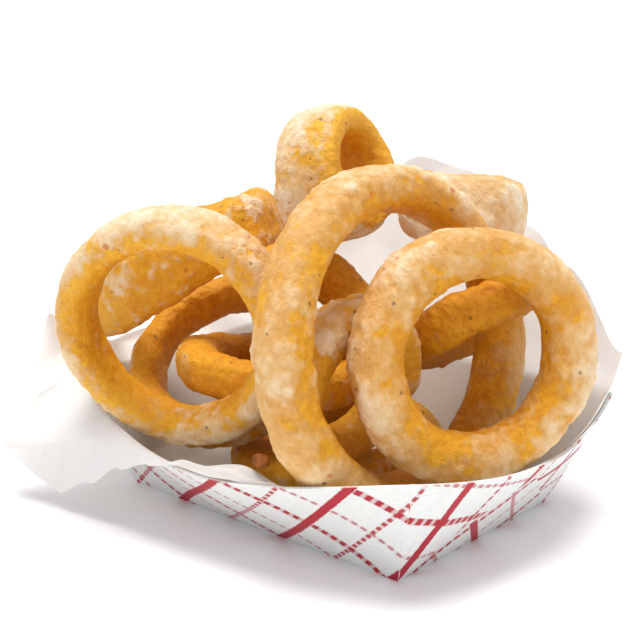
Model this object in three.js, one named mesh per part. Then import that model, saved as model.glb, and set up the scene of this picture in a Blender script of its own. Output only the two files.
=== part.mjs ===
// Side order of onion rings: a folded paper food tray, a loose sheet of liner
// paper draped over its left end, and a pile of battered onion rings.
// Millimetres, +Z up, origin in the middle of the tray's base.
import * as THREE from 'three';

// ---- sizes -------------------------------------------------------------
const BASE_X = 59;            // half length of the tray's base
const BASE_Y = 40;            // half width of the tray's base
const WALL = 42.3;            // height of a wall measured along its slope
const TRAY_T = 0.7;           // tray board thickness
const LINER_GAP = 0.45;       // air between tray and liner
const LINER_T = 0.5;          // liner sheet thickness
const END_FLARE = 16;         // outward run of the end walls at the corners
const SIDE_FLARE = 14;        // outward run of the long walls at the corners
const BOW = { near: 17, far: 8, nearEnd: 10, farEnd: 7 };  // bulge of each rim
const GUSSET = 32;            // the end walls' folded corners start here
const RING_U = 42;            // facets round a ring
const RING_V = 10;            // facets round its cross section
const SQUARE = 2 / 2.6;       // how boxy the cross section of a ring is

// Each ring: centre, axis, centre-line radius R, half thickness across (a)
// and along the axis (b), ovalness, turn of the oval, out-of-plane warp,
// and how its thickness swells once and three times round.
const RINGS = [
  { name: 'ring_front_tall', c: [38.9, -17.5, 66.7], n: [0.977, -0.084, 0.195], R: 48.0, a: 7.2, b: 9.0,
    oval: 0.0, spin: 0, warp: 1.5, phase: 0.5, fat: 0.06, fph: 3.1, lump: 0.03, lph: 1 },
  { name: 'ring_front_right', c: [63.5, -10.5, 65.5], n: [0.830, -0.521, 0.199], R: 31.5, a: 8.2, b: 8.5,
    oval: 0.02, spin: 40, warp: 1.2, phase: 1, fat: 0.05, fph: 2, lump: 0.03, lph: 2 },
  { name: 'ring_front_left', c: [-20.9, -54.5, 67.7], n: [0.383, -0.917, -0.112], R: 34.3, a: 6.1, b: 9.0,
    oval: 0.02, spin: 20, warp: 1.2, phase: 2, fat: 0.06, fph: 1, lump: 0.03, lph: 3 },
  { name: 'ring_top', c: [-20.9, 22.7, 107.0], n: [0.950, 0.110, 0.290], R: 17.2, a: 6.4, b: 13.0,
    oval: 0.03, spin: 60, warp: 1, phase: 3, fat: 0.08, fph: 3, lump: 0.04, lph: 4 },
  { name: 'ring_back_left', c: [-75.2, -1.6, 73.7], n: [-0.377, -0.178, 0.909], R: 33.7, a: 7.0, b: 13.5,
    oval: 0.03, spin: 80, warp: 1.5, phase: 1.5, fat: 0.14, fph: 3.68, lump: 0.04, lph: 5 },
  { name: 'ring_low_left', c: [-40.5, -11.7, 42.8], n: [0.164, -0.594, 0.787], R: 29.9, a: 5.8, b: 8.2,
    oval: 0.03, spin: 10, warp: 1.2, phase: 2.5, fat: 0.05, fph: 4, lump: 0.04, lph: 0.5 },
  { name: 'ring_flat_middle', c: [-20.8, -3.0, 42.1], n: [-0.052, 0.112, 0.992], R: 30.0, a: 7.2, b: 7.9,
    oval: 0.04, spin: 30, warp: 1.2, phase: 0.2, fat: 0.06, fph: 5, lump: 0.04, lph: 1.5 },
  { name: 'ring_inner', c: [28.6, -27.7, 53.7], n: [0.992, -0.077, -0.096], R: 21.0, a: 6.2, b: 7.5,
    oval: 0.03, spin: 50, warp: 1, phase: 1.2, fat: 0.06, fph: 0, lump: 0.04, lph: 2.5 },
  { name: 'ring_back_right', c: [16.2, 47.1, 94.7], n: [-0.051, 0.280, 0.957], R: 15.6, a: 6.8, b: 12.6,
    oval: 0.04, spin: 70, warp: 1.0, phase: 2.2, fat: 0.06, fph: 2, lump: 0.04, lph: 3.5 },
  { name: 'ring_under_top', c: [-13.6, 1.6, 66.7], n: [0.571, 0.105, 0.814], R: 18.2, a: 6.4, b: 8.2,
    oval: 0.03, spin: 0, warp: 1, phase: 0, fat: 0.05, fph: 1, lump: 0.04, lph: 0 },
  { name: 'ring_floor', c: [-1.0, 1.7, 15.2], n: [-0.066, -0.072, 0.995], R: 30.0, a: 8.0, b: 9.0,
    oval: 0.03, spin: 20, warp: 1, phase: 1, fat: 0.05, fph: 2, lump: 0.04, lph: 0.7 },
  { name: 'ring_far_side', c: [40.2, 28.3, 67.0], n: [-0.599, -0.038, 0.800], R: 23.3, a: 7.2, b: 7.5,
    oval: 0.03, spin: 40, warp: 1.2, phase: 2, fat: 0.05, fph: 3, lump: 0.04, lph: 1.7 },
];

// Liner: where its loose part goes, station by station round the rim. p is
// the place on the rim (0 near right corner, 2 near left, 4 far left, 6 far
// right, 8 round again), w how far the sheet comes over the rim (0 stays
// below it), C a fold and T the free edge.
const LINER = [
  { p: 0.0, w: 0 },
  { p: 0.46, w: 0 },
  { p: 0.62, w: 0.5, C: [28, -68.0, 33.0], T: [28, -68.0, 34.5] },
  { p: 0.78, w: 1, C: [17, -69.5, 32.8], T: [17, -70.0, 34.2] },
  { p: 1.0, w: 1, C: [0, -70.5, 33.0], T: [0, -70.5, 36.0] },
  { p: 1.18, w: 1, C: [-14, -71.8, 33.0], T: [-17, -72.9, 30.5] },
  { p: 1.33, w: 1, C: [-29, -71.5, 31.5], T: [-31, -72.0, 22.5] },
  { p: 1.5, w: 1, C: [-42, -72.0, 29.0], T: [-46, -73.0, 13.6] },
  { p: 1.66, w: 1, C: [-54, -72.4, 26.2], T: [-62, -72.4, 6.0] },
  { p: 1.8, w: 1, C: [-66, -74.5, 23.8], T: [-75, -75.0, 10.6] },
  { p: 1.93, w: 1, C: [-82, -76.0, 20.5], T: [-88, -76.0, 17.2] },
  { p: 2.03, w: 1, C: [-80, -65.0, 35.5], T: [-86, -65.0, 36.0] },
  { p: 2.16, w: 1, C: [-83, -53.0, 46.0], T: [-87, -53.0, 60.0] },
  { p: 2.34, w: 1, C: [-86, -42.0, 44.5], T: [-93, -41.0, 54.0] },
  { p: 2.6, w: 1, C: [-89, -22.0, 40.6], T: [-101, -24.0, 39.5] },
  { p: 3.1, w: 1, C: [-92, 6.0, 39.0], T: [-105, 7.0, 38.0] },
  { p: 3.6, w: 1, C: [-89, 34.0, 44.0], T: [-100, 38.0, 50.0] },
  { p: 4.0, w: 1, C: [-81, 60.0, 53.0], T: [-88, 67.0, 69.0] },
  { p: 4.4, w: 1, C: [-47, 72.0, 66.0], T: [-50, 79.0, 95.0] },
  { p: 4.7, w: 1, C: [-24, 75.0, 72.0], T: [-27, 81.0, 105.0] },
  { p: 4.95, w: 1, C: [-4, 76.0, 70.0], T: [-7, 82.0, 102.0] },
  { p: 5.3, w: 1, C: [23, 75.0, 62.0], T: [22, 80.0, 85.0] },
  { p: 5.62, w: 1, C: [46, 67.0, 56.0], T: [45, 70.0, 76.0] },
  { p: 6.0, w: 1, C: [75.5, 55.5, 46.0], T: [76.5, 57.5, 53.5] },
  { p: 6.22, w: 1, C: [79, 43.0, 42.0], T: [80.5, 43.5, 46.0] },
  { p: 6.5, w: 0.5, C: [82.5, 27.0, 38.0], T: [83.5, 27.0, 40.0] },
  { p: 6.8, w: 0 },
  { p: 8.0, w: 0 },
];

const CRUMB = { c: [23.5, -62.0, 36.4], r: [3.0, 2.4, 2.1] };

// ---- helpers -----------------------------------------------------------
const add = (p, q, k = 1) => [p[0] + k * q[0], p[1] + k * q[1], p[2] + k * q[2]];
const sub = (p, q) => add(p, q, -1);
const mix = (p, q, t) => p.map((v, i) => v + (q[i] - v) * t);
const dot = (p, q) => p[0] * q[0] + p[1] * q[1] + p[2] * q[2];
const cross = (p, q) => [p[1] * q[2] - p[2] * q[1], p[2] * q[0] - p[0] * q[2], p[0] * q[1] - p[1] * q[0]];
const unit = (p) => { const l = Math.hypot(...p) || 1; return p.map((v) => v / l); };
const clamp = (v, lo, hi) => Math.min(hi, Math.max(lo, v));

// Puts a closed mesh into the group, dropping triangles folded to nothing and
// turning the faces outwards.
function solid(group, name, points, faces, look) {
  const key = points.map((p) => p.map((v) => v.toFixed(4)).join(' '));
  const first = new Map();
  const at = key.map((k, i) => { if (!first.has(k)) first.set(k, i); return first.get(k); });
  const kept = faces.map((f) => f.map((v) => at[v]))
    .filter(([i, j, k]) => i !== j && j !== k && k !== i);
  const volume = kept.reduce((v, [i, j, k]) => v + dot(points[i], cross(points[j], points[k])), 0);
  const index = kept.flatMap(([i, j, k]) => (volume > 0 ? [i, j, k] : [i, k, j]));
  const geometry = new THREE.BufferGeometry();
  geometry.setAttribute('position', new THREE.Float32BufferAttribute(points.flat(), 3));
  geometry.setIndex(index);
  geometry.computeVertexNormals();
  const material = new THREE.MeshStandardMaterial({ metalness: 0, ...look });
  const mesh = new THREE.Mesh(geometry, material);
  mesh.name = name;
  group.add(mesh);
}

// Two triangles for each cell of a grid of rows by cols; wrap joins the ends.
function quads(rows, cols, wrapRows, wrapCols, flip = false, from = 0) {
  const faces = [];
  for (let i = 0; i < (wrapRows ? rows : rows - 1); i += 1) {
    for (let j = 0; j < (wrapCols ? cols : cols - 1); j += 1) {
      const p = from + i * cols + j;
      const q = from + i * cols + ((j + 1) % cols);
      const r = from + ((i + 1) % rows) * cols + ((j + 1) % cols);
      const s = from + ((i + 1) % rows) * cols + j;
      if (flip) faces.push([p, r, q], [p, s, r]);
      else faces.push([p, q, r], [p, r, s]);
    }
  }
  return faces;
}

// ---- onion rings -------------------------------------------------------
// A torus whose cross section is a rounded box a by b, made oval, warped out
// of its plane and swelling round its length.
function ringSolid(group, ring, look) {
  const n = unit(ring.n);
  let h = cross([0, 0, 1], n);
  h = Math.hypot(...h) < 1e-3 ? [1, 0, 0] : unit(h);
  const v = cross(n, h);
  const t = (ring.spin * Math.PI) / 180;
  const ex = add(h.map((x) => x * Math.cos(t)), v, Math.sin(t));
  const ey = add(h.map((x) => -x * Math.sin(t)), v, Math.cos(t));
  const power = (x) => Math.sign(x) * Math.abs(x) ** SQUARE;
  const points = [];
  for (let i = 0; i < RING_U; i += 1) {
    const u = (2 * Math.PI * i) / RING_U;
    const m = 1 + ring.fat * Math.cos(u - ring.fph) + ring.lump * Math.cos(3 * u + ring.lph);
    for (let j = 0; j < RING_V; j += 1) {
      const w = (2 * Math.PI * j) / RING_V;
      const rad = ring.R * (1 + ring.oval * Math.cos(2 * u)) + ring.a * m * power(Math.cos(w));
      const z = ring.warp * Math.cos(2 * u + ring.phase) + ring.b * m * power(Math.sin(w));
      let p = add(ring.c, ex, rad * Math.cos(u));
      p = add(p, ey, rad * Math.sin(u));
      points.push(add(p, n, z));
    }
  }
  solid(group, ring.name, points, quads(RING_U, RING_V, true, true, true), look);
}

// ---- tray --------------------------------------------------------------
// Base and rim point of the wall at place p round the tray, and the level
// direction pointing out of the tray there.
function wallAt(p0) {
  const p = ((p0 % 8) + 8) % 8;
  const side = Math.floor(p / 2);
  const q = p / 2 - side;
  const bulge = 4 * q * (1 - q);
  const long = side % 2 === 0;
  const bow = [BOW.near, BOW.farEnd, BOW.far, BOW.nearEnd][side];
  const flare = (long ? SIDE_FLARE : END_FLARE) + bow * bulge;
  const lift = long ? 0 : 0.76 * (1 - bulge);
  const z = Math.sqrt(WALL * WALL - flare * flare) + lift;
  const along = 1 - 2 * q;
  const s = side < 2 ? 1 : -1;
  let base, rim, out;
  if (long) {
    base = [s * BASE_X * along, -s * BASE_Y, 0];
    rim = [s * (BASE_X + END_FLARE) * along, -s * (BASE_Y + flare), z];
    out = [0, -s, 0];
  } else {
    const y = -(BASE_Y + SIDE_FLARE) * along;
    base = [-s * BASE_X, s * clamp((y * BASE_Y) / GUSSET, -BASE_Y, BASE_Y), 0];
    rim = [-s * (BASE_X + flare), s * y, z];
    out = [-s, 0, 0];
  }
  if (q < 1e-6 || q > 1 - 1e-6) out = [Math.sign(rim[0]), Math.sign(rim[1]), 0].map((v) => v * Math.SQRT1_2);
  return { base, rim, out };
}

// Point at height s (0 base, 1 rim) on the surface lying off inside the wall.
function wallPoint(p, s, off) {
  const { base, rim, out } = wallAt(p);
  const slope = Math.hypot(rim[0] - base[0], rim[1] - base[1]) / rim[2];
  const c = 1 / Math.hypot(1, slope);
  const inward = [-out[0] * c, -out[1] * c, c * slope];
  const k = off * 0.75;
  const foot = [base[0] - Math.sign(base[0]) * k * (Math.abs(base[0]) / BASE_X),
    base[1] - Math.sign(base[1]) * k * (Math.abs(base[1]) / BASE_Y), off];
  return mix(foot, add(rim, inward, off), s);
}

// Places round the rim: even steps on every wall plus the gusset folds.
function places(long, short) {
  const list = [];
  const fold = (1 - GUSSET / (BASE_Y + SIDE_FLARE)) / 2;
  for (let side = 0; side < 4; side += 1) {
    const steps = [];
    if (side % 2 === 0) {
      for (let i = 0; i < long; i += 1) steps.push(i / long);
    } else {
      for (let i = 0; i < 3; i += 1) steps.push((fold * i) / 3);
      for (let i = 0; i < short; i += 1) steps.push(fold + ((1 - 2 * fold) * i) / short);
      for (let i = 0; i < 3; i += 1) steps.push(1 - fold + (fold * i) / 3);
    }
    for (const q of steps) list.push(2 * (side + q));
  }
  return list;
}

function traySolid(group, look) {
  const ps = places(26, 12);
  const half = (p) => mix(wallAt(p).base, wallAt(p).rim, 0.5);
  const rows = [
    ps.map((p) => wallAt(p).base),
    ps.map(half),
    ps.map((p) => wallAt(p).rim),
    ps.map((p) => wallPoint(p, 1, TRAY_T)),
    ps.map((p) => wallPoint(p, 0.5, TRAY_T)),
    ps.map((p) => wallPoint(p, 0, TRAY_T)),
  ];
  const cols = ps.length;
  const points = rows.flat();
  const faces = quads(6, cols, false, true, false);
  points.push([0, 0, 0], [0, 0, TRAY_T]);
  for (let j = 0; j < cols; j += 1) {
    const k = (j + 1) % cols;
    faces.push([6 * cols, k, j], [6 * cols + 1, 5 * cols + j, 5 * cols + k]);
  }
  solid(group, 'tray', points, faces, look);
}

// ---- liner -------------------------------------------------------------
const LINER_OFF = TRAY_T + LINER_GAP + LINER_T / 2;
const SAG = { depth: 6, p: 0.78, width: 0.2 };  // where the sheet stands off the near wall

// The loose part's stations as distances from the rim, so that they can be
// blended round the tray.
const LOOSE = LINER.map((row) => {
  const { rim } = wallAt(row.p);
  return { p: row.p, w: row.w, C: row.C ? sub(row.C, rim) : null, T: row.T ? sub(row.T, rim) : null };
});

function looseAt(p) {
  let i = 0;
  while (i < LOOSE.length - 2 && p > LOOSE[i + 1].p) i += 1;
  const lo = LOOSE[i];
  const hi = LOOSE[i + 1];
  const t = clamp((p - lo.p) / (hi.p - lo.p), 0, 1);
  const e = t * t * (3 - 2 * t);
  const C = lo.C && hi.C ? mix(lo.C, hi.C, e) : lo.C || hi.C;
  const T = lo.T && hi.T ? mix(lo.T, hi.T, e) : lo.T || hi.T;
  return { w: lo.w + (hi.w - lo.w) * e, C, T };
}

// Middle surface of the sheet: row 0 is the middle of the floor, then the
// floor's edge, up the wall, over the rim, the fold and the free edge.
function linerPoint(p, row) {
  const at = (s) => wallPoint(p, s, LINER_OFF);
  if (row === 0) return [0, 0, LINER_OFF];
  if (row === 1) return mix([0, 0, LINER_OFF], at(0), 0.55);
  if (row === 2) return at(0);
  if (row === 3) return at(0.35);
  const { w, C, T } = looseAt(p);
  const sag = SAG.depth * Math.exp(-(((p - SAG.p) / SAG.width) ** 2));
  if (row === 4) return wallPoint(p, 0.66 + 0.02 * w, LINER_OFF + 0.6 * sag);
  if (row === 5) return wallPoint(p, 0.78 + 0.17 * w, LINER_OFF + sag);
  const { rim } = wallAt(p);
  const low = at(row === 6 ? 0.83 : row === 7 ? 0.88 : 0.93);
  if (w < 1e-6) return low;
  const crest = add(mix(at(1), rim, 0.45), [0, 0, 1.5]);
  const high = row === 6 ? crest : add(rim, row === 7 ? C : T);
  return mix(low, high, w);
}

function linerSolid(group, look) {
  const ps = places(26, 12);
  const cols = ps.length;
  const ROWS = 9;
  const grid = [];
  for (let row = 0; row < ROWS; row += 1) grid.push(ps.map((p) => linerPoint(p, row)));
  const normal = (row, j) => {
    const a = grid[Math.max(row - 1, 0)][j];
    const b = grid[Math.min(row + 1, ROWS - 1)][j];
    const c = grid[Math.max(row, 1)][(j + cols - 1) % cols];
    const d = grid[Math.max(row, 1)][(j + 1) % cols];
    return unit(cross(sub(d, c), sub(b, a)));
  };
  const points = [];
  for (const side of [-1, 1]) {
    for (let row = 0; row < ROWS; row += 1) {
      for (let j = 0; j < cols; j += 1) {
        const n = row < 2 ? [0, 0, 1] : row === 2 ? unit(add(normal(2, j), [0, 0, 1])) : normal(row, j);
        points.push(add(grid[row][j], n, (side * LINER_T) / 2));
      }
    }
  }
  const n = ROWS * cols;
  const faces = [...quads(ROWS, cols, false, true, false), ...quads(ROWS, cols, false, true, true, n)];
  for (let j = 0; j < cols; j += 1) {
    const k = (j + 1) % cols;
    const e = (ROWS - 1) * cols;
    faces.push([e + j, e + k, n + e + k], [e + j, n + e + k, n + e + j]);
  }
  solid(group, 'liner', points, faces, look);
}

// ---- crumb -------------------------------------------------------------
function crumbSolid(group, look) {
  const points = [];
  const R = 7;
  const S = 9;
  for (let i = 0; i < R; i += 1) {
    const f = (Math.PI * i) / (R - 1);
    for (let j = 0; j < S; j += 1) {
      const t = (2 * Math.PI * j) / S;
      const k = 1 + 0.12 * Math.sin(3 * t + 2 * f) * Math.sin(f);
      const d = [Math.sin(f) * Math.cos(t), Math.sin(f) * Math.sin(t), -Math.cos(f)];
      points.push(d.map((v, a) => CRUMB.c[a] + v * CRUMB.r[a] * k));
    }
  }
  solid(group, 'crumb', points, quads(R, S, false, true, false), look);
}

// ---- the whole side ----------------------------------------------------
const side = new THREE.Group();
side.name = 'onion_rings_side';
traySolid(side, { color: 0xe9dcdc, roughness: 0.6 });
linerSolid(side, { color: 0xf4f4f2, roughness: 0.75 });
RINGS.forEach((ring, i) => {
  ringSolid(side, ring, { color: [0xe9b56a, 0xe3a958, 0xedc07c][i % 3], roughness: 0.7 });
});
crumbSolid(side, { color: 0xb4671f, roughness: 0.8 });

export default side;
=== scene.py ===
"""Side order of battered onion rings in a folded plaid paper tray with a loose
sheet of liner paper. Sizes are in millimetres until a mesh is made; +Z is up
and the origin is the middle of the tray's base."""
import math

import bmesh
import bpy
import numpy as np
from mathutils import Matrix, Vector


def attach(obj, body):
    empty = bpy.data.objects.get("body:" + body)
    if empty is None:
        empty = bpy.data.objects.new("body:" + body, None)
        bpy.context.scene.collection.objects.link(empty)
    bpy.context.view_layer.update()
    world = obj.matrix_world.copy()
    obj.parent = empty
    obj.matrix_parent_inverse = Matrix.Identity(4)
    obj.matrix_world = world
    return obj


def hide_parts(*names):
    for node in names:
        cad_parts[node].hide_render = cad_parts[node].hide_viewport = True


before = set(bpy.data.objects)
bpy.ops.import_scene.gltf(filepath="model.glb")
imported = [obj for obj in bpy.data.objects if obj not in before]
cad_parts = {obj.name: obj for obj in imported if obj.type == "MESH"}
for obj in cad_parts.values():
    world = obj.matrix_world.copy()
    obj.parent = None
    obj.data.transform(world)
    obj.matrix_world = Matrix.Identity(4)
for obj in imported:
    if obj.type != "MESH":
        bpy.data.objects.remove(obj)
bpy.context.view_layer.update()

MM = 0.001               # metres in a millimetre
TURN = 2 * math.pi       # a whole turn

# ---- camera ----------------------------------------------------------------
CAMERA_AT = (305.7, -354.4, 197.8)
CAMERA_AIM = (-56.5, 55.0, 40.0)
VIEW_DEG = 25.0
SENSOR = 36.0            # width of the camera's sensor
SIGHT_M = 100.0          # how far the camera sees, in metres

camera_data = bpy.data.cameras.new("camera")
camera_data.sensor_width = SENSOR
camera_data.angle = math.radians(VIEW_DEG)
camera_data.clip_end = SIGHT_M
camera = bpy.data.objects.new("camera", camera_data)
camera.location = Vector(CAMERA_AT) * MM
look = Vector(CAMERA_AIM) - Vector(CAMERA_AT)
camera.rotation_euler = look.to_track_quat("-Z", "Y").to_euler()
bpy.context.scene.collection.objects.link(camera)
bpy.context.scene.camera = camera

# ---- sizes of the tray and the liner ---------------------------------------
BASE_X = 59.0            # half length of the tray's base
BASE_Y = 40.0            # half width of the tray's base
WALL = 42.3              # height of a wall along its slope
TRAY_T = 0.7             # board thickness
LINER_GAP = 0.45         # air between tray and liner
LINER_SOLID_T = 0.5      # thickness of the liner's solid
PAPER_T = 0.16           # thickness of the paper as seen
END_FLARE = 16.0         # outward run of the end walls at the corners
SIDE_FLARE = 14.0        # outward run of the long walls at the corners
BOW = (17.0, 7.0, 8.0, 10.0)  # bulge of the rim: near, left end, far, right end
END_RISE = 0.76          # the end walls' rim rises to the corners by this
FOOT_IN = 0.75           # how far an inner skin's foot moves in, as a share of its offset
GUSSET = 32.0            # the end walls' folded corners start here
FLAP_STEP = 0.4          # how far a folded corner stands proud of its end wall
FLAP_DEG = 42.0          # slope of a folded corner's free edge on the end wall

# Each ring: centre, axis, centre-line radius, half thickness across and along
# the axis, ovalness, turn of the oval, warp out of its plane, phase of the
# warp, then how much and where its thickness swells once and three times round.
RINGS = {
    "ring_front_tall": ((38.9, -17.5, 66.7), (0.977, -0.084, 0.195), 48.0, 7.2, 9.0,
                        0.0, 0, 1.5, 0.5, 0.06, 3.1, 0.03, 1),
    "ring_front_right": ((63.5, -10.5, 65.5), (0.830, -0.521, 0.199), 31.5, 8.2, 8.5,
                         0.02, 40, 1.2, 1, 0.05, 2, 0.03, 2),
    "ring_front_left": ((-20.9, -54.5, 67.7), (0.383, -0.917, -0.112), 34.3, 6.1, 9.0,
                        0.02, 20, 1.2, 2, 0.06, 1, 0.03, 3),
    "ring_top": ((-20.9, 22.7, 107.0), (0.950, 0.110, 0.290), 17.2, 6.4, 13.0,
                 0.03, 60, 1, 3, 0.08, 3, 0.04, 4),
    "ring_back_left": ((-75.2, -1.6, 73.7), (-0.377, -0.178, 0.909), 33.7, 7.0, 13.5,
                       0.03, 80, 1.5, 1.5, 0.14, 3.68, 0.04, 5),
    "ring_low_left": ((-40.5, -11.7, 42.8), (0.164, -0.594, 0.787), 29.9, 5.8, 8.2,
                      0.03, 10, 1.2, 2.5, 0.05, 4, 0.04, 0.5),
    "ring_flat_middle": ((-20.8, -3.0, 42.1), (-0.052, 0.112, 0.992), 30.0, 7.2, 7.9,
                         0.04, 30, 1.2, 0.2, 0.06, 5, 0.04, 1.5),
    "ring_inner": ((28.6, -27.7, 53.7), (0.992, -0.077, -0.096), 21.0, 6.2, 7.5,
                   0.03, 50, 1, 1.2, 0.06, 0, 0.04, 2.5),
    "ring_back_right": ((16.2, 47.1, 94.7), (-0.051, 0.280, 0.957), 15.6, 6.8, 12.6,
                        0.04, 70, 1.0, 2.2, 0.06, 2, 0.04, 3.5),
    "ring_under_top": ((-13.6, 1.6, 66.7), (0.571, 0.105, 0.814), 18.2, 6.4, 8.2,
                       0.03, 0, 1, 0, 0.05, 1, 0.04, 0),
    "ring_floor": ((-1.0, 1.7, 15.2), (-0.066, -0.072, 0.995), 30.0, 8.0, 9.0,
                   0.03, 20, 1, 1, 0.05, 2, 0.04, 0.7),
    "ring_far_side": ((40.2, 28.3, 67.0), (-0.599, -0.038, 0.800), 23.3, 7.2, 7.5,
                      0.03, 40, 1.2, 2, 0.05, 3, 0.04, 1.7),
}

# The liner's loose part, station by station round the rim: place on the rim
# (0 near right corner, 2 near left, 4 far left, 6 far right, 8 round again),
# how far the sheet comes over the rim, a fold and the free edge.
LINER = [
    (0.00, 0.0, None, None),
    (0.46, 0.0, None, None),
    (0.62, 0.5, (28, -68.0, 33.0), (28, -68.0, 34.5)),
    (0.78, 1.0, (17, -69.5, 32.8), (17, -70.0, 34.2)),
    (1.00, 1.0, (0, -70.7, 31.2), (0, -70.9, 33.2)),
    (1.18, 1.0, (-14, -71.6, 30.4), (-17, -72.6, 27.6)),
    (1.33, 1.0, (-29, -71.5, 30.0), (-31, -72.0, 22.5)),
    (1.50, 1.0, (-42, -72.0, 29.0), (-46, -73.0, 13.6)),
    (1.66, 1.0, (-54, -72.4, 26.2), (-62, -72.4, 6.0)),
    (1.80, 1.0, (-66, -74.5, 23.8), (-75, -75.0, 10.6)),
    (1.93, 1.0, (-82, -76.0, 20.5), (-88, -76.0, 17.2)),
    (2.03, 1.0, (-80, -65.0, 35.5), (-86, -65.0, 36.0)),
    (2.16, 1.0, (-83, -53.0, 46.0), (-87, -53.0, 60.0)),
    (2.34, 1.0, (-86, -42.0, 44.5), (-93, -41.0, 54.0)),
    (2.60, 1.0, (-89, -22.0, 40.6), (-101, -24.0, 39.5)),
    (3.10, 1.0, (-92, 6.0, 39.0), (-105, 7.0, 38.0)),
    (3.60, 1.0, (-89, 34.0, 44.0), (-100, 38.0, 50.0)),
    (4.00, 1.0, (-81, 60.0, 53.0), (-88, 67.0, 69.0)),
    (4.40, 1.0, (-47, 72.0, 66.0), (-50, 79.0, 95.0)),
    (4.70, 1.0, (-24, 75.0, 72.0), (-27, 81.0, 105.0)),
    (4.95, 1.0, (-4, 76.0, 70.0), (-7, 82.0, 102.0)),
    (5.30, 1.0, (23, 75.0, 62.0), (22, 80.0, 85.0)),
    (5.62, 1.0, (46, 67.0, 56.0), (45, 70.0, 76.0)),
    (6.00, 1.0, (75.5, 55.5, 46.0), (76.5, 57.5, 53.5)),
    (6.22, 1.0, (79, 43.0, 42.0), (80.5, 43.5, 46.0)),
    (6.50, 0.5, (82.5, 27.0, 38.0), (83.5, 27.0, 40.0)),
    (6.80, 0.0, None, None),
    (8.00, 0.0, None, None),
]
SAG_DEPTH, SAG_AT, SAG_WIDTH = 6.0, 0.78, 0.2  # the sheet stands off the wall at this place
CREST_LIFT = 0.7         # how far the sheet rises over the rim

CRUMB_AT, CRUMB_R = (23.5, -62.0, 36.4), (3.0, 2.4, 2.1)  # middle and half widths


# ---- helpers ---------------------------------------------------------------
def unit(v):
    """Each vector divided by its own length."""
    return v / np.maximum(np.linalg.norm(v, axis=-1, keepdims=True), 1e-9)


def ease(x):
    """The S curve from 0 to 1, level at both ends."""
    return x * x * (3 - 2 * x)


def linear(code):
    """Linear colour of an sRGB hex value such as "e8c68c"."""
    parts = [int(code[i:i + 2], 16) / 255 for i in (0, 2, 4)]
    return tuple(c / 12.92 if c <= 0.04045 else ((c + 0.055) / 1.055) ** 2.4
                 for c in parts) + (1.0,)


# Large odd numbers that stir a cell's place and a seed into one number.
STIR_X, STIR_Y, STIR_Z = np.uint32(374761393), np.uint32(668265263), np.uint32(2246822519)
STIR_SEED, STIR_1, STIR_2 = 3266489917, np.uint32(1274126177), np.uint32(2654435761)
LOW_BITS = np.uint32(0xFFFFFF)


def scattered(cell, seed):
    """Repeatable numbers 0 to 1, one for each whole-number cell: its three
    numbers are multiplied by large odd numbers, mixed and cut to 24 bits."""
    x, y, z = (cell[..., k].astype(np.int64).astype(np.uint32) for k in range(3))
    h = x * STIR_X + y * STIR_Y + z * STIR_Z
    h = h + np.uint32((seed * STIR_SEED) & 0xFFFFFFFF)
    h = (h ^ (h >> np.uint32(13))) * STIR_1
    h = (h ^ (h >> np.uint32(16))) * STIR_2
    return ((h ^ (h >> np.uint32(15))) & LOW_BITS) / float(LOW_BITS)


def swell(p, size, seed):
    """Smooth noise from -1 to 1: random heights at the corners of cubes of the
    given size, blended across each cube with an S curve."""
    q = p / size
    low = np.floor(q)
    f = ease(q - low)
    total = np.zeros(p.shape[:-1])
    for corner in np.ndindex(2, 2, 2):
        weight = np.prod(np.where(np.array(corner) == 1, f, 1 - f), axis=-1)
        total += weight * scattered(low + np.array(corner), seed)
    return 2 * total - 1


def crumbs(p, size, seed):
    """Round grains: 1 at the nearest of the points scattered one to a cube of
    the given size, falling with distance to 0 one cube away."""
    q = p / size
    low = np.floor(q)
    best = np.full(p.shape[:-1], 9.0)
    for step in np.ndindex(3, 3, 3):
        cell = low + np.array(step) - 1
        point = cell + np.stack([scattered(cell, seed + k) for k in range(3)], axis=-1)
        best = np.minimum(best, np.sum((q - point) ** 2, axis=-1))
    return np.clip(1 - np.sqrt(best), 0, 1)


def grid_normals(p, wrap_rows, wrap_cols):
    """Unit normals of a grid of points: the cross product of the differences
    to the neighbours along the columns and along the rows."""
    def slope(axis, wrap):
        """Difference across each point along one way of the grid."""
        if wrap:
            return np.roll(p, -1, axis) - np.roll(p, 1, axis)
        return np.gradient(p, axis=axis)
    return unit(np.cross(slope(0, wrap_rows), slope(1, wrap_cols)))


def grid_faces(rows, cols, wrap_rows, wrap_cols, flip=False, start=0):
    """Four-sided faces of a grid of points numbered row by row from start."""
    i, j = np.meshgrid(np.arange(rows if wrap_rows else rows - 1),
                       np.arange(cols if wrap_cols else cols - 1), indexing="ij")
    i, j = i.ravel(), j.ravel()
    k, m = (i + 1) % rows, (j + 1) % cols
    quad = [i * cols + j, i * cols + m, k * cols + m, k * cols + j]
    return start + np.stack(quad[::-1] if flip else quad, axis=1)


def volume(points, faces):
    """Signed volume of a closed mesh of four-sided faces."""
    a, b, c, d = (points[faces[:, k]] for k in range(4))
    return float(np.sum(a * np.cross(b, c)) + np.sum(a * np.cross(c, d))) / 6


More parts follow.
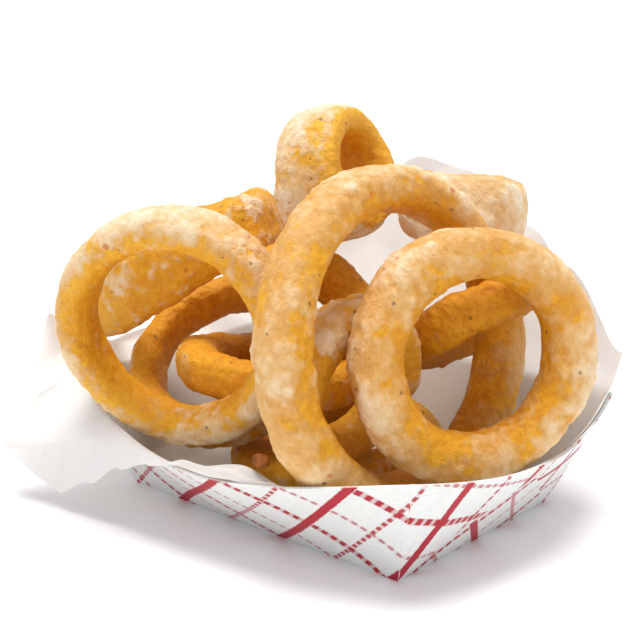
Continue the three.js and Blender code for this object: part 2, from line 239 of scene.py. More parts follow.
def make_piece(name, points, faces, material, marks=None, uvs=None):
    """Puts millimetre points and four-sided faces into a mesh object at the
    origin, facing outwards, with number attributes and UV maps."""
    uvs = uvs or {}
    if volume(points, faces) < 0:
        faces = faces[:, ::-1]
        uvs = {key: values[:, ::-1] for key, values in uvs.items()}
    mesh = bpy.data.meshes.new(name)
    mesh.vertices.add(len(points))
    mesh.vertices.foreach_set("co", (points * MM).astype(np.float32).ravel())
    mesh.loops.add(faces.size)
    mesh.loops.foreach_set("vertex_index", faces.astype(np.int32).ravel())
    mesh.polygons.add(len(faces))
    mesh.polygons.foreach_set("loop_start", np.arange(0, faces.size, 4, dtype=np.int32))
    mesh.update(calc_edges=True)
    mesh.polygons.foreach_set("use_smooth", np.full(len(faces), True))
    for key, values in uvs.items():
        layer = mesh.uv_layers.new(name=key)
        layer.data.foreach_set("uv", values.astype(np.float32).ravel())
    for key, values in (marks or {}).items():
        layer = mesh.attributes.new(key, "FLOAT", "POINT")
        layer.data.foreach_set("value", values.astype(np.float32).ravel())
    mesh.validate()
    mesh.materials.append(material)
    piece = bpy.data.objects.new(name, mesh)
    bpy.context.scene.collection.objects.link(piece)
    return piece


SAME_PLACE_M = 1e-6      # points closer than this many metres are one


def weld(piece):
    """Merges points that share a place, so that poles are closed."""
    mesh = bmesh.new()
    mesh.from_mesh(piece.data)
    bmesh.ops.remove_doubles(mesh, verts=mesh.verts, dist=SAME_PLACE_M)
    mesh.to_mesh(piece.data)
    mesh.free()


def sharpen(piece, degrees):
    """Marks edges sharper than the angle, so that folds are shaded crisp."""
    piece.data.set_sharp_from_angle(angle=math.radians(degrees))


# ---- materials -------------------------------------------------------------
def add_node(tree, kind, inputs=None, stops=(), **settings):
    """Adds a node and gives its outputs. Settings are its own properties,
    inputs its sockets, each a value to hold or another node's output to be
    joined to, and stops a colour ramp's (place, hex colour) pairs."""
    made = tree.nodes.new(kind)
    for key, value in settings.items():
        setattr(made, key, value)
    for key, value in (inputs or {}).items():
        if isinstance(value, bpy.types.NodeSocket):
            tree.links.new(value, made.inputs[key])
        else:
            made.inputs[key].default_value = value
    if stops:
        elements = made.color_ramp.elements
        while len(elements) < len(stops):
            elements.new(0.5)
        for element, (place, code) in zip(elements, stops):
            element.position, element.color = place, linear(code)
    return made.outputs


def sums(tree, *terms):
    """Adds up value times weight, from (output, weight) pairs and numbers."""
    total = sum(term for term in terms if not isinstance(term, tuple))
    for value, weight in (term for term in terms if isinstance(term, tuple)):
        total = add_node(tree, "ShaderNodeMath", {0: value, 1: weight, 2: total},
                         operation="MULTIPLY_ADD")[0]
    return total


def new_material(name):
    """An empty node material and its tree."""
    material = bpy.data.materials.new(name)
    material.use_nodes = True
    material.node_tree.nodes.clear()
    return material, material.node_tree


# The batter's patterns: size, layers of detail and roughness of each noise.
BLOTCH = (10.0, 2.0, 0.5)  # where the coat is thin, a finger's breadth across
RAGGED = (4.0, 4.0, 0.6)   # the ragged edge of those patches
GRAIN = (2.6, 4.0, 0.6)    # mottling between crumbs
GRIT = (0.9, 3.0, 0.6)     # flour
COAT = ((0.08, "d8993e"), (0.34, "e4b26d"), (0.60, "efcf9f"), (0.88, "f6e3c6"))
CRUST = ((0.12, "d88d0c"), (0.40, "e9a61c"), (0.72, "f3bb3e"))
THIN_FROM, THIN_TO = 0.92, 1.13  # the coat is whole below the first, gone above the second
SPOT_EDGE = 0.05           # softness of a spot's edge, in cells


def fried_batter():
    """Wheat-flour batter, deep fried: a dry, floury, crumbly coat, cream where
    it stands proud, with flour on its crests, and tan in its hollows, where
    the tan is partly painted shade. Where the coat is thin the glossy golden
    crust shows in ragged patches, which nearly close on the walls round a
    ring's hole. Coat and crust are darkened towards the hole: painted shade.
    Ground pepper is scattered through it."""
    material, tree = new_material("fried_batter")
    coords = add_node(tree, "ShaderNodeTexCoord")["Object"]
    # The toast mark is browning and, on ring_far_side, painted shade.
    inner, relief, toast, bare = (
        add_node(tree, "ShaderNodeAttribute", attribute_name=name)["Fac"]
        for name in ("inner", "relief", "toast", "bare"))
    blotch, ragged, grain, fine = (
        add_node(tree, "ShaderNodeTexNoise", {
            "Vector": coords, "Scale": 1 / (size * MM), "Detail": detail,
            "Roughness": rough})["Fac"]
        for size, detail, rough in (BLOTCH, RAGGED, GRAIN, GRIT))
    # The coat is cream on its crests, partly flour, and tan in its hollows, partly painted shade;
    # its darkening towards the ring's hole is painted shade.
    coat = add_node(tree, "ShaderNodeValToRGB", {"Fac": sums(
        tree, (relief, 0.42), (grain, 0.62), (fine, 0.16), (blotch, -0.30), (inner, -0.36),
        (toast, -0.34), 0.14)}, COAT)["Color"]
    # The crust's darkening towards the ring's hole is painted shade.
    crust = add_node(tree, "ShaderNodeValToRGB", {"Fac": sums(
        tree, (grain, 0.9), (inner, -0.26), (toast, -0.25), 0.12)}, CRUST)["Color"]
    thin = sums(tree, (blotch, 0.85), (ragged, 0.90), (inner, 0.30), (relief, -0.22),
                (toast, 0.12), (bare, 1.0), 0.03)
    thin = add_node(tree, "ShaderNodeMapRange", {
        "Value": thin, "From Min": THIN_FROM, "From Max": THIN_TO},
        interpolation_type="SMOOTHSTEP")[0]
    mixed = add_node(tree, "ShaderNodeMix", {0: thin, 6: coat, 7: crust}, data_type="RGBA")[2]

    # Spots, one in some of the cells of a pattern: the cell's size, which of
    # its random numbers decides, how wide a spot is, what frays its edge and
    # by how much, how far it is held back, and its strength and colour.
    for size, channel, width, fray, frayed, held, strength, code in (
            (12.0, 1, 0.14, grain, 0.16, -0.08, 0.70, "c8640e"),  # over-fried specks
            (6.0, 0, 0.12, fine, 0.06, 0.0, 0.62, "5a4632")):     # ground pepper
        cells = add_node(tree, "ShaderNodeTexVoronoi", {
            "Vector": coords, "Scale": 1 / (size * MM), "Randomness": 1.0})
        chance = add_node(tree, "ShaderNodeSeparateColor", {"Color": cells["Color"]})[channel]
        spot = sums(tree, (cells["Distance"], -1.0), (chance, width), (fray, frayed), held)
        spot = add_node(tree, "ShaderNodeMapRange", {
            "Value": spot, "From Min": 0.0, "From Max": SPOT_EDGE},
            interpolation_type="SMOOTHSTEP")[0]
        mixed = add_node(tree, "ShaderNodeMix", {
            0: sums(tree, (spot, strength)), 6: mixed, 7: linear(code)}, data_type="RGBA")[2]

    height = sums(tree, (grain, 0.80), (fine, 0.50), (thin, -0.14), (spot, -0.15))
    bump = add_node(tree, "ShaderNodeBump", {
        "Height": height, "Strength": 0.9, "Distance": 1.3 * MM})["Normal"]
    shader = add_node(tree, "ShaderNodeBsdfPrincipled", {
        "Base Color": mixed, "Roughness": sums(tree, (grain, 0.25), (thin, -0.18), 0.54),
        "Normal": bump, "IOR": 1.46, "Specular IOR Level": 0.36, "Subsurface Weight": 0.10,
        "Subsurface Radius": (1.0, 0.45, 0.12), "Subsurface Scale": 1.5 * MM})[0]
    add_node(tree, "ShaderNodeOutputMaterial", {"Surface": shader})
    return material


def dark_crumb():
    """A scrap of batter fried through: brown, dry and rough."""
    material, tree = new_material("dark_crumb")
    coords = add_node(tree, "ShaderNodeTexCoord")["Object"]
    relief = add_node(tree, "ShaderNodeAttribute", attribute_name="relief")["Fac"]
    grain = add_node(tree, "ShaderNodeTexNoise", {
        "Vector": coords, "Scale": 1 / (1.4 * MM), "Detail": 3.0})["Fac"]
    # The scrap is lighter on its bumps and darker in its hollows: painted shade.
    colour = add_node(tree, "ShaderNodeValToRGB", {"Fac": sums(tree, (grain, 0.7), (relief, 0.3))},
                      ((0.2, "5a2a05"), (0.55, "94500c"), (0.9, "b8701c")))["Color"]
    bump = add_node(tree, "ShaderNodeBump", {
        "Height": grain, "Strength": 0.5, "Distance": 0.4 * MM})["Normal"]
    shader = add_node(tree, "ShaderNodeBsdfPrincipled", {
        "Base Color": colour, "Roughness": 0.6, "Normal": bump, "IOR": 1.45})[0]
    add_node(tree, "ShaderNodeOutputMaterial", {"Surface": shader})
    return material


PLAID_PITCH = 31.0       # distance between the thick lines
PLAID_AT = (7.5, 39.7)   # where the first thick line of each family lies
PLAID_TURN = 42.0        # degrees between the lines and the tray's long edge
THICK, THIN = 2.9, 1.5   # line widths
STITCH, DASH = 3.3, 0.6  # pitch of the dashes along a broken line, and a dash's share of it
WANDER = 0.8             # how far a line's edge wanders
BLEED = 0.18             # softness of a line's edge, to each side


def plaid_board():
    """Bleached paperboard with a thin coating, printed with red thick and
    thin crossing lines. All but the thick lines of one family are broken into
    dashes, with a paler tint between them."""
    material, tree = new_material("plaid_board")
    coords = add_node(tree, "ShaderNodeTexCoord")["Object"]
    reach, printed = (add_node(tree, "ShaderNodeAttribute", attribute_name=name)["Fac"]
                      for name in ("reach", "printed"))
    on_flap = add_node(tree, "ShaderNodeMath", {0: reach, 1: 0.0}, operation="GREATER_THAN")[0]
    wall_map, flap_map = (add_node(tree, "ShaderNodeUVMap", uv_map=name)["UV"]
                          for name in ("sheet", "flap"))
    sheet = add_node(tree, "ShaderNodeMix", {0: on_flap, 4: wall_map, 5: flap_map},
                     data_type="VECTOR")[1]
    ways = add_node(tree, "ShaderNodeSeparateXYZ", {"Vector": sheet})
    ragged = add_node(tree, "ShaderNodeTexNoise", {
        "Vector": sheet, "Scale": 1.1, "Detail": 1.0})["Fac"]

    def line(along, at, width, pitch):
        """1 on lines of that width, a pitch apart, the first at that place."""
        past = add_node(tree, "ShaderNodeMath", {0: along, 1: at}, operation="SUBTRACT")[0]
        far = add_node(tree, "ShaderNodeMath", {0: past, 1: pitch / 2}, operation="PINGPONG")[0]
        return add_node(tree, "ShaderNodeMapRange", {
            "Value": far, "From Min": width / 2 - BLEED, "From Max": width / 2 + BLEED,
            "To Min": 1.0, "To Max": 0.0})[0]

    dashes = [line(ways[k], 0.0, STITCH * DASH, STITCH) for k in range(2)]
    ink = 0.0
    # Each set of lines: its family, where it starts, its width, and how strong
    # the ink is in its dashes, over how strong it is between them.
    for family, start, width, dash, gap in (
            (0, 0.0, THICK, 0.0, 1.0), (1, 0.0, THICK, 0.60, 0.40),
            (0, PLAID_PITCH / 2, THIN, 0.70, 0.25), (1, PLAID_PITCH / 2, THIN, 0.60, 0.15)):
        along = sums(tree, (ragged, WANDER), (ways[family], 1.0))
        mark = line(along, PLAID_AT[family] + start, width, PLAID_PITCH)
        strength = sums(tree, (dashes[1 - family], dash), gap)
        mark = add_node(tree, "ShaderNodeMath", {0: mark, 1: strength}, operation="MULTIPLY")[0]
        ink = add_node(tree, "ShaderNodeMath", {0: mark, 1: ink}, operation="MAXIMUM")[0]
    ink = add_node(tree, "ShaderNodeMath", {0: ink, 1: printed}, operation="MULTIPLY")[0]

    fibre = add_node(tree, "ShaderNodeTexNoise", {
        "Vector": coords, "Scale": 1 / (1.5 * MM), "Detail": 4.0})["Fac"]
    board = add_node(tree, "ShaderNodeValToRGB", {"Fac": fibre},
                     ((0.3, "e3e6e3"), (0.7, "eceeeb")))["Color"]
    colour = add_node(tree, "ShaderNodeMix", {0: ink, 6: board, 7: linear("b00c28")},
                      data_type="RGBA")[2]
    bump = add_node(tree, "ShaderNodeBump", {
        "Height": fibre, "Strength": 0.12, "Distance": 0.1 * MM})["Normal"]
    shader = add_node(tree, "ShaderNodeBsdfPrincipled", {
        "Base Color": colour, "Roughness": 0.5, "Normal": bump, "IOR": 1.48})[0]
    add_node(tree, "ShaderNodeOutputMaterial", {"Surface": shader})
    return material


def greaseproof_paper():
    """Bleached greaseproof paper, thin enough to glow a little against the
    light, matt, with soft crumples and faint oil tints."""
    material, tree = new_material("greaseproof_paper")
    coords = add_node(tree, "ShaderNodeTexCoord")["Object"]
    fibre, oil = (
        add_node(tree, "ShaderNodeTexNoise", {
            "Vector": coords, "Scale": 1 / (size * MM), "Detail": detail})["Fac"]
        for size, detail in ((2.0, 5.0), (26.0, 2.0)))
    crease = add_node(tree, "ShaderNodeTexVoronoi", {
        "Vector": coords, "Scale": 1 / (21.0 * MM), "Randomness": 1.0},
        feature="DISTANCE_TO_EDGE")["Distance"]
    crease = add_node(tree, "ShaderNodeMapRange", {
        "Value": crease, "From Min": 0.0, "From Max": 0.12})[0]
    colour = add_node(tree, "ShaderNodeValToRGB", {"Fac": sums(
        tree, (oil, 0.9), (fibre, 0.2), -0.05)}, ((0.25, "fefefe"), (0.75, "f8f6f2")))["Color"]
    bump = add_node(tree, "ShaderNodeBump", {
        "Height": sums(tree, (crease, 0.5), (fibre, 0.15)), "Strength": 0.25,
        "Distance": 0.5 * MM})["Normal"]
    face = add_node(tree, "ShaderNodeBsdfPrincipled", {
        "Base Color": colour, "Roughness": 0.62, "Normal": bump, "IOR": 1.46})[0]
    through = add_node(tree, "ShaderNodeBsdfTranslucent", {"Color": linear("fefefd")})[0]
    shader = add_node(tree, "ShaderNodeMixShader", {0: 0.5, 1: face, 2: through})[0]
    add_node(tree, "ShaderNodeOutputMaterial", {"Surface": shader})
    return material


# ---- onion rings -----------------------------------------------------------
STEP = 0.62              # spacing of the surface's points
GIRTH = 3.3              # girth of a cross section, over the sum of its two half widths
SQUARE = 2 / 2.6         # how boxy a cross section is: 1 is an ellipse, 0 a box
LOWEST, HIGHEST = -1.8, 1.3  # limits of the crust's relief
# Sizes of the crust's relief, from broad swells to grit; of its rougher
# stretches, and of the stretches that are browned more or less.
SWELL, LUMP, CREASE, CRUMB, SAND, ROUGH, TOAST = 14.0, 5.6, 7.0, 3.8, 1.9, 9.0, 22.0
# How browned each ring is, how much of its coat is missing, and how much more
# of it is missing towards its hole. The browning of ring_far_side, far past the rest, is painted
# shade, for it lies deep in the pile's shade.
BROWNING_AND_SHADE = {
    "ring_front_tall": (0.24, -0.08, 0.0),
    "ring_front_right": (0.32, -0.09, 0.05),
    "ring_front_left": (-0.12, -0.03, 0.06),
    "ring_top": (-0.22, 0.09, 1.00),
    "ring_back_left": (0.40, 0.25, 0.0),
    "ring_low_left": (0.52, 0.16, 0.1),
    "ring_flat_middle": (0.62, 0.30, 0.1),
    "ring_inner": (0.24, 0.12, 0.1),
    "ring_back_right": (-0.46, -0.18, 0.0),
    "ring_under_top": (0.45, 0.30, 0.1),
    "ring_floor": (0.60, 0.30, 0.1),
    # painted shade: this ring is browned far past the others to darken it where it lies in the
    # pile's shade
    "ring_far_side": (1.3, 0.50, 0.1),
}


def batter_relief(p, seed):
    """Height of the crust: broad swells, lumps, creases where a noise crosses
    zero, round crumbs and grit, each of its own size, with the crumbs and grit
    strongest on the rougher stretches. Its mean is about zero."""
    broad = swell(p, SWELL, seed)
    lumps = swell(p, LUMP, seed + 10)
    crease = 1 - np.abs(swell(p, CREASE, seed + 60)) * 2
    coarse = crumbs(p, CRUMB, seed + 20)
    fine = crumbs(p, SAND, seed + 30)
    rough = np.clip(0.65 + 0.7 * swell(p, ROUGH, seed + 40), 0.15, 1.3)
    return (0.60 * broad + 0.55 * lumps - 0.22 * np.clip(crease, 0, 1)
            + rough * (1.05 * (coarse - 0.45) + 0.50 * (fine - 0.45)))


def boxy(x):
    """A sine or cosine pushed outwards, so that it draws a rounded box."""
    return np.sign(x) * np.abs(x) ** SQUARE


def ring_surface(centre, axis, radius, across, along, oval, spin, warp, phase,
                 fat, fat_at, lump, lump_at, seed):
    """A ring: its centre line is an oval in the plane square to its axis,
    bent out of that plane twice round. Its cross section is a rounded box
    across by along, swelling once and three times round, and the crust's
    relief is added along the surface's normals."""
    n = unit(np.array(axis))
    level = unit(np.cross((0, 0, 1), n))
    up = np.cross(n, level)
    t = math.radians(spin)
    ex = math.cos(t) * level + math.sin(t) * up
    ey = -math.sin(t) * level + math.cos(t) * up
    rows = int(TURN * (radius + 0.5 * across) / STEP)
    cols = int(GIRTH * (across + along) / STEP)
    u, w = np.meshgrid(TURN * np.arange(rows) / rows, TURN * np.arange(cols) / cols,
                       indexing="ij")
    m = 1 + fat * np.cos(u - fat_at) + lump * np.cos(3 * u + lump_at)
    out = radius * (1 + oval * np.cos(2 * u)) + across * m * boxy(np.cos(w))
    side = warp * np.cos(2 * u + phase) + along * m * boxy(np.sin(w))
    spoke = ex * np.cos(u)[..., None] + ey * np.sin(u)[..., None]
    p = np.array(centre) + spoke * out[..., None] + n * side[..., None]
    normal = grid_normals(p, True, True)
    middle = np.array(centre) + spoke * radius
    normal *= np.sign(np.sum(normal * (p - middle), axis=-1, keepdims=True))
    inner = np.clip(0.5 - 0.75 * np.cos(w), 0, 1)
    height = batter_relief(p, seed) * (1 - 0.25 * inner) - 0.1
    p = p + normal * np.clip(height, LOWEST, HIGHEST)[..., None]
    return p, inner, height


def make_ring(name, spec, material, seed):
    """One ring, with attributes for how far a point faces the ring's middle,
    the crust's height there, how toasted that stretch is, which on
    ring_far_side also paints in its shade, and how much of its coat is missing."""
    p, inner, height = ring_surface(*spec, seed)
    rows, cols = p.shape[:2]
    brown, bare, bare_inside = BROWNING_AND_SHADE[name]
    marks = {"inner": inner, "relief": np.clip(0.5 + height, 0, 1),
             # This mark holds the ring's browning and, on ring_far_side, painted shade.
             "toast": brown + 0.4 * swell(p, TOAST, seed + 50),
             "bare": bare + bare_inside * inner}
    piece = make_piece(name + "_crust", p.reshape(-1, 3), grid_faces(rows, cols, True, True),
                       material, marks)
    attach(piece, "root")
    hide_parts(name)


# ---- tray ------------------------------------------------------------------
def wall_at(place):
    """Base point, rim point and outward level direction of the tray's wall at
    places round it. Each side runs over 2; its rim bows outwards as a parabola,
    and its height keeps the board's length along the slope."""
    p = np.mod(place, 8.0)
    side = np.floor(p / 2).astype(int)
    q = p / 2 - side
    bulge = 4 * q * (1 - q)
    long = side % 2 == 0
    flare = np.where(long, SIDE_FLARE, END_FLARE) + np.array(BOW)[side] * bulge
    z = np.sqrt(WALL ** 2 - flare ** 2) + np.where(long, 0, END_RISE * (1 - bulge))
    along, s = 1 - 2 * q, np.where(side < 2, 1.0, -1.0)
    y_end = -(BASE_Y + SIDE_FLARE) * along
    y_foot = np.clip(y_end * BASE_Y / GUSSET, -BASE_Y, BASE_Y)
    base = np.where(long[:, None],
                    np.stack([s * BASE_X * along, -s * BASE_Y, 0 * z], 1),
                    np.stack([-s * BASE_X, s * y_foot, 0 * z], 1))
    rim = np.where(long[:, None],
                   np.stack([s * (BASE_X + END_FLARE) * along, -s * (BASE_Y + flare), z], 1),
                   np.stack([-s * (BASE_X + flare), s * y_end, z], 1))
    out = np.where(long[:, None], np.stack([0 * s, -s, 0 * s], 1),
                   np.stack([-s, 0 * s, 0 * s], 1))
    corner = (q < 1e-6) | (q > 1 - 1e-6)
    slant = np.stack([np.sign(rim[:, 0]), np.sign(rim[:, 1]), 0 * z], 1) * math.sqrt(0.5)
    return base, rim, np.where(corner[:, None], slant, out)


def wall_point(place, height, off):
    """Points at a height (0 base, 1 rim) on the surface lying off inside the
    wall: the foot and the rim are both moved inwards and joined by a line.
    The height and the offset are one number, or one for each place."""
    base, rim, out = wall_at(place)
    height, off = (np.broadcast_to(v, len(base))[:, None] for v in (height, off))
    slope = np.hypot(rim[:, 0] - base[:, 0], rim[:, 1] - base[:, 1]) / rim[:, 2]
    c = 1 / np.hypot(1, slope)
    inward = np.stack([-out[:, 0] * c, -out[:, 1] * c, c * slope], 1)
    foot = np.concatenate([base[:, :2] * (1 - FOOT_IN * off / (BASE_X, BASE_Y)), off], 1)
    return foot + (rim + inward * off - foot) * height


FOLD = (1 - GUSSET / (BASE_Y + SIDE_FLARE)) / 2  # where a gusset ends, along its wall


def places(long_steps, end_steps, fold_steps):
    """Places round the rim: even steps on every wall and on both sides of
    each gusset's fold."""
    ends = np.concatenate([np.arange(fold_steps) * FOLD / fold_steps,
                           FOLD + (1 - 2 * FOLD) * np.arange(end_steps) / end_steps,
                           1 - FOLD + FOLD * np.arange(fold_steps) / fold_steps])
    sides = [np.arange(long_steps) / long_steps, ends] * 2
    return np.concatenate([2 * (k + q) for k, q in enumerate(sides)])


def sheet_place(on_end, points, flap):
    """Where points lie on the printed sheet when it is laid flat round the
    base, turned to the plaid's lines. A long wall or an end wall folds out
    square to its base edge; a flap belongs to its long wall, so it is the end
    wall's place turned about the base's corner up to the long wall's edge."""
    x, y, z = np.abs(points[..., 0]), np.abs(points[..., 1]), points[..., 2]
    up_long, up_end = np.hypot(y - BASE_Y, z), np.hypot(x - BASE_X, z)
    floor = z < 0.01
    across = np.where(on_end & ~floor, BASE_X + up_end, x)
    down = np.where(~on_end & ~floor, BASE_Y + up_long, y)
    if flap:
        turn = math.pi / 2 - math.atan2(END_FLARE, WALL) - math.atan2(SIDE_FLARE, WALL)
        dx, dy = across - BASE_X, down - BASE_Y
        across = np.where(on_end, BASE_X + dx * math.cos(turn) - dy * math.sin(turn), across)
        down = np.where(on_end, BASE_Y + dx * math.sin(turn) + dy * math.cos(turn), down)
    across = across * np.sign(points[..., 0])
    down = down * np.sign(points[..., 1]) + BASE_Y
    t = math.radians(PLAID_TURN)
    return np.stack([across * math.sin(t) + down * math.cos(t),
                     across * math.cos(t) - down * math.sin(t)], -1)


def flap_reach(points):
    """How far a point of an end wall lies inside a folded corner's free edge,
    a straight line that climbs from the base's corner at FLAP_DEG."""
    up = np.hypot(np.abs(points[..., 0]) - BASE_X, points[..., 2])
    along = BASE_Y - np.abs(points[..., 1])
    t = math.radians(FLAP_DEG)
    return up * math.cos(t) - along * math.sin(t)


TRAY_STEPS = (110, 70, 14)  # points on a long wall, an end wall and beside its fold
WALL_LEVELS = 33         # rows of points up a wall
FLOOR_RINGS = (0.0, 0.35, 0.7, 0.96)  # rows of points from the base's middle outwards
NO_FLAP = -5.0           # reach of a point that lies on no folded corner
FLAP_EDGE = 1.2          # width of the slope at a folded corner's free edge
WAVES = ((0.22, 24.0, 5), (0.12, 11.0, 6))  # the board's waves: height, size and seed
WAVE_FADE = 12           # below this height they fade out towards the base
FOLD_DEG = 30.0          # the board is shaded crisp where it turns more than this


def make_tray(material):
    """The tray: rows of points up the outside of the walls, over the rim and
    down the inside to the middle of the floor. The folded corners stand a
    step proud of the end walls, and the board waves slightly."""
    ps = places(*TRAY_STEPS)
    cols = len(ps)
    levels = np.linspace(0, 1, WALL_LEVELS)
    base, rim, out = wall_at(ps)
    on_end = np.floor(ps / 2).astype(int) % 2 == 1
    rows = [base * k for k in FLOOR_RINGS]
    reach = [np.full(cols, NO_FLAP)] * len(rows)
    for s in levels:
        at = base + (rim - base) * s
        reach.append(np.where(on_end, flap_reach(at), NO_FLAP))
        proud = np.clip(0.5 + reach[-1] / FLAP_EDGE, 0, 1) * min(1.0, 10 * s) * FLAP_STEP
        rows.append(at + out * (proud * on_end)[:, None])
    outside = len(rows)
    rows += [wall_point(ps, s, TRAY_T) for s in levels[::-1]]
    rows += [wall_point(ps, 0.0, TRAY_T) * (k, k, 1.0) for k in FLOOR_RINGS[::-1]]
    reach += [np.full(cols, NO_FLAP)] * (len(rows) - outside)
    flat = np.stack(rows)
    wave = sum(high * swell(flat, size, seed) for high, size, seed in WAVES)
    wave = wave * np.clip(flat[..., 2] / WAVE_FADE, 0, 1)
    p = flat + out * wave[..., None]
    faces = grid_faces(len(rows), cols, False, True)
    corners = flat.reshape(-1, 3)[faces]
    cell_end = np.tile(on_end, len(rows) - 1)[:, None]
    uvs = {"sheet": sheet_place(cell_end, corners, False),
           "flap": sheet_place(cell_end, corners, True)}
    marks = {"printed": np.repeat((np.arange(len(rows)) < outside).astype(float), cols),
             "reach": np.concatenate(reach)}
    piece = make_piece("tray_board", p.reshape(-1, 3), faces, material, marks, uvs)
    weld(piece)
    sharpen(piece, FOLD_DEG)
    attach(piece, "root")
    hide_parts("tray")


# ---- liner -----------------------------------------------------------------
LINER_OFF = TRAY_T + LINER_GAP + LINER_SOLID_T / 2
LINER_STEPS = (150, 70, 12)  # points on a long wall, an end wall and beside its fold
LOOSE_PLACES = np.linspace(1.2, 2.4, 60, endpoint=False) + 0.001  # and more where it hangs
SLACK = 0.32             # how far the smooth curve leans on its neighbours: 0.5 is full
FLOOR_ROWS, WALL_ROWS, LOOSE_ROWS = 6, 18, 43  # points between main lines 0, 2, 5 and 8
LOOSE_FROM, LOOSE_RUN = 5.3, 1.5  # crumpling starts at this line and grows over so many
PLEAT, CRUMPLE = (19.0, 71), (8.0, 72)  # size and seed of the pleats and small crumples
CREASE_DEG = 50.0        # the paper is shaded crisp where it turns more than this


def known(*ways):
    """The first of the vectors that is given, or zero."""
    return next((way for way in ways if way is not None), np.zeros(3))


def loose_part(ps):
    """How far the sheet comes over the rim at each place, with its fold and
    free edge as distances from the rim, blended between stations by S curves."""
    stations = np.array([row[0] for row in LINER])
    over = np.array([row[1] for row in LINER])
    _, rim, _ = wall_at(stations)
    i = np.clip(np.searchsorted(stations, ps, side="right") - 1, 0, len(LINER) - 2)
    e = ease(np.clip((ps - stations[i]) / (stations[i + 1] - stations[i]), 0, 1))
    result = [over[i] + (over[i + 1] - over[i]) * e]
    for k in (2, 3):
        ways = [np.array(row[k]) - top if row[k] else None for row, top in zip(LINER, rim)]
        low = np.array([known(v, w) for v, w in zip(ways[:-1], ways[1:])])
        high = np.array([known(w, v) for v, w in zip(ways[:-1], ways[1:])])
        result.append(low[i] + (high[i] - low[i]) * e[:, None])
    return result


def liner_rows(ps):
    """The sheet's nine main lines: the middle of the floor, halfway out, the
    foot of the wall, three lines up the wall, the crest over the rim, the fold
    and the free edge. Where no sheet comes over the rim, the last three lie on
    the wall too. Heights are shares of the wall."""
    over, fold, edge = loose_part(ps)
    sag = SAG_DEPTH * np.exp(-(((ps - SAG_AT) / SAG_WIDTH) ** 2))
    _, rim, _ = wall_at(ps)
    foot = wall_point(ps, 0.0, LINER_OFF)
    centre = np.broadcast_to((0.0, 0.0, LINER_OFF), foot.shape)
    rows = [centre, centre + 0.55 * (foot - centre), foot, wall_point(ps, 0.35, LINER_OFF),
            wall_point(ps, 0.66 + 0.02 * over, LINER_OFF + 0.6 * sag),
            wall_point(ps, 0.78 + 0.17 * over, LINER_OFF + sag)]
    crest = 0.55 * wall_point(ps, 1.0, LINER_OFF) + 0.45 * rim + (0, 0, CREST_LIFT)
    for low_at, high in ((0.83, crest), (0.88, rim + fold), (0.93, rim + edge)):
        low = wall_point(ps, low_at, LINER_OFF)
        rows.append(low + (high - low) * over[:, None])
    return np.stack(rows), over


def along_rows(rows, t):
    """Points on the smooth curve (Catmull-Rom, slackened) through the main
    lines at row numbers t."""
    last = len(rows) - 1
    i = np.clip(np.floor(t).astype(int), 0, last - 1)
    f = (t - i)[:, None, None]
    p0, p1 = rows[np.maximum(i - 1, 0)], rows[i]
    p2, p3 = rows[i + 1], rows[np.minimum(i + 2, last)]
    m1, m2 = SLACK * (p2 - p0), SLACK * (p3 - p1)
    gap, lean_1, lean_2 = (np.linalg.norm(v, axis=-1, keepdims=True) for v in (p2 - p1, m1, m2))
    short = np.minimum(1.0, gap / (np.maximum(lean_1, lean_2) + 1e-6))
    m1, m2 = m1 * short, m2 * short
    return ((2 * f ** 3 - 3 * f ** 2 + 1) * p1 + (f ** 3 - 2 * f ** 2 + f) * m1
            + (-2 * f ** 3 + 3 * f ** 2) * p2 + (f ** 3 - f ** 2) * m2)


def make_liner(material):
    """The liner: one sheet from the middle of the tray's floor to its free
    edge, two skins a paper's thickness apart joined at the edge. The loose
    part is crumpled by folded noise, the rest lies as the wall does."""
    ps = np.sort(np.concatenate([places(*LINER_STEPS), LOOSE_PLACES]))
    main, over = liner_rows(ps)
    t = np.concatenate([np.linspace(0, 2, FLOOR_ROWS, endpoint=False),
                        np.linspace(2, 5, WALL_ROWS, endpoint=False),
                        np.linspace(5, 8, LOOSE_ROWS)])
    p = along_rows(main, t)
    loose = np.clip((t - LOOSE_FROM) / LOOSE_RUN, 0, 1)[:, None] * over[None, :]
    crumple = 0.9 * (1 - 2 * np.abs(swell(p, *PLEAT))) + 0.35 * swell(p, *CRUMPLE)
    p = p + grid_normals(p, False, True) * (crumple * loose)[..., None]
    rows, cols = p.shape[:2]
    skin = grid_normals(p, False, True) * PAPER_T / 2
    points = np.concatenate([(p - skin).reshape(-1, 3), (p + skin).reshape(-1, 3)])
    start = rows * cols
    a = start - cols + np.arange(cols)
    b = np.roll(a, -1)
    edge = np.stack([a, b, start + b, start + a], 1)
    faces = np.concatenate([grid_faces(rows, cols, False, True),
                            grid_faces(rows, cols, False, True, True, start), edge])
    piece = make_piece("liner_sheet", points, faces, material)
    weld(piece)
    sharpen(piece, CREASE_DEG)
    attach(piece, "root")
    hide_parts("liner")


# ---- crumb -----------------------------------------------------------------
CRUMB_ROWS, CRUMB_COLS = 40, 60  # points from pole to pole and round
SCRAP_LUMP, SCRAP_GRAIN = (2.2, 91), (1.3, 92)  # size and seed of its relief


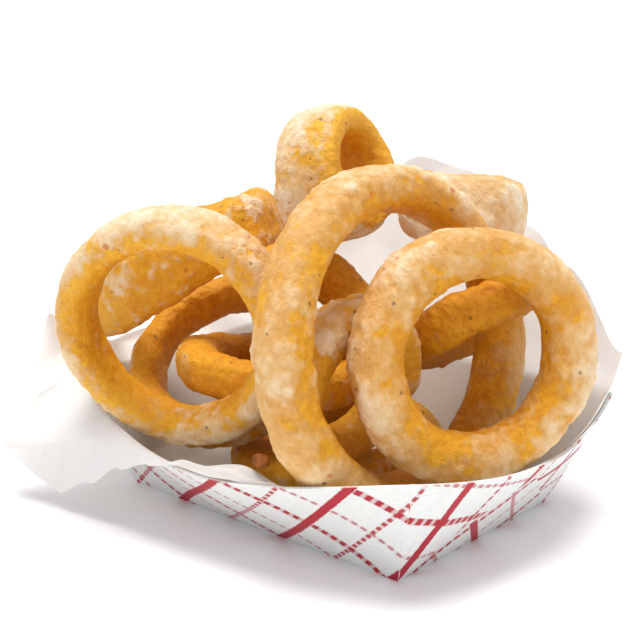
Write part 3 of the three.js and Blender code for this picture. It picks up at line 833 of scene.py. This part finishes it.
def make_crumb(material):
    """A broken scrap of batter: an ellipsoid with three soft lobes and the
    crust's own relief, closed at both poles."""
    f, t = np.meshgrid(np.linspace(0, math.pi, CRUMB_ROWS),
                       TURN * np.arange(CRUMB_COLS) / CRUMB_COLS, indexing="ij")
    lobes = 1 + 0.12 * np.sin(3 * t + 2 * f) * np.sin(f)
    way = np.stack([np.sin(f) * np.cos(t), np.sin(f) * np.sin(t), -np.cos(f)], -1)
    p = np.array(CRUMB_AT) + way * np.array(CRUMB_R) * lobes[..., None]
    bumps = 0.5 * swell(p, *SCRAP_LUMP) + 0.5 * (crumbs(p, *SCRAP_GRAIN) - 0.4)
    p = p + way * (0.45 * bumps - 0.1)[..., None]
    piece = make_piece("crumb_scrap", p.reshape(-1, 3),
                       grid_faces(CRUMB_ROWS, CRUMB_COLS, False, True), material,
                       {"relief": np.clip(0.5 + bumps, 0, 1)})
    weld(piece)
    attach(piece, "root")
    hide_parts("crumb")


# ---- floor and light -------------------------------------------------------
FLOOR_HALF = 9.0         # half width of the floor, in metres
SURROUND = 0.66          # how strongly the pale surround lights the scene
SURROUND_TINT = (0.965, 0.955, 1.0, 1.0)
SWEEP = 1.1              # brightness of the surround as the camera sees it
SWEEP_TINT = (1.0, 1.0, 1.0, 1.0)
LAMP_FROM = (-0.06, 0.02, 0.998)  # direction the lamp stands in
LAMP_AT_M = (-0.4, 0.6, 1.4)  # a distant lamp lights alike from any place
LAMP_STRENGTH = 2.75
LAMP_SPREAD_DEG = 34.0
LAMP_TINT = (1.0, 0.985, 0.965)


def make_floor():
    """A wide, plain, nearly white floor."""
    material, tree = new_material("white_floor")
    shader = add_node(tree, "ShaderNodeBsdfPrincipled", {
        "Base Color": linear("fbfbfb"), "Roughness": 0.9, "Specular IOR Level": 0.1})[0]
    add_node(tree, "ShaderNodeOutputMaterial", {"Surface": shader})
    mesh = bpy.data.meshes.new("floor")
    corners = [(x * FLOOR_HALF, y * FLOOR_HALF, 0) for x, y in ((-1, -1), (1, -1), (1, 1), (-1, 1))]
    mesh.from_pydata(corners, [], [(0, 1, 2, 3)])
    mesh.materials.append(material)
    floor = bpy.data.objects.new("floor", mesh)
    bpy.context.scene.collection.objects.link(floor)


def light_scene():
    """A pale surround, seen as pure white behind the floor's far edge, and one
    broad, distant lamp straight above, so the shade stays under the tray."""
    world = bpy.data.worlds.new("studio")
    world.use_nodes = True
    tree = world.node_tree
    tree.nodes.clear()
    glow, sweep = (add_node(tree, "ShaderNodeBackground", {"Color": tint, "Strength": strength})[0]
                   for tint, strength in ((SURROUND_TINT, SURROUND), (SWEEP_TINT, SWEEP)))
    seen = add_node(tree, "ShaderNodeLightPath")["Is Camera Ray"]
    both = add_node(tree, "ShaderNodeMixShader", {0: seen, 1: glow, 2: sweep})[0]
    add_node(tree, "ShaderNodeOutputWorld", {"Surface": both})
    bpy.context.scene.world = world
    data = bpy.data.lights.new("overhead", "SUN")
    data.energy, data.color = LAMP_STRENGTH, LAMP_TINT
    data.angle = math.radians(LAMP_SPREAD_DEG)
    lamp = bpy.data.objects.new("overhead", data)
    lamp.location = LAMP_AT_M
    lamp.rotation_euler = (-Vector(LAMP_FROM)).to_track_quat("-Z", "Y").to_euler()
    bpy.context.scene.collection.objects.link(lamp)
    bpy.context.scene.view_settings.view_transform = "Standard"


# ---- the whole side --------------------------------------------------------
FIRST_SEED, SEED_GAP = 100, 7  # the rings' relief is seeded in their order

batter = fried_batter()
for number, (ring_name, ring_spec) in enumerate(RINGS.items()):
    make_ring(ring_name, ring_spec, batter, FIRST_SEED + SEED_GAP * number)
make_tray(plaid_board())
make_liner(greaseproof_paper())
make_crumb(dark_crumb())
make_floor()
light_scene()
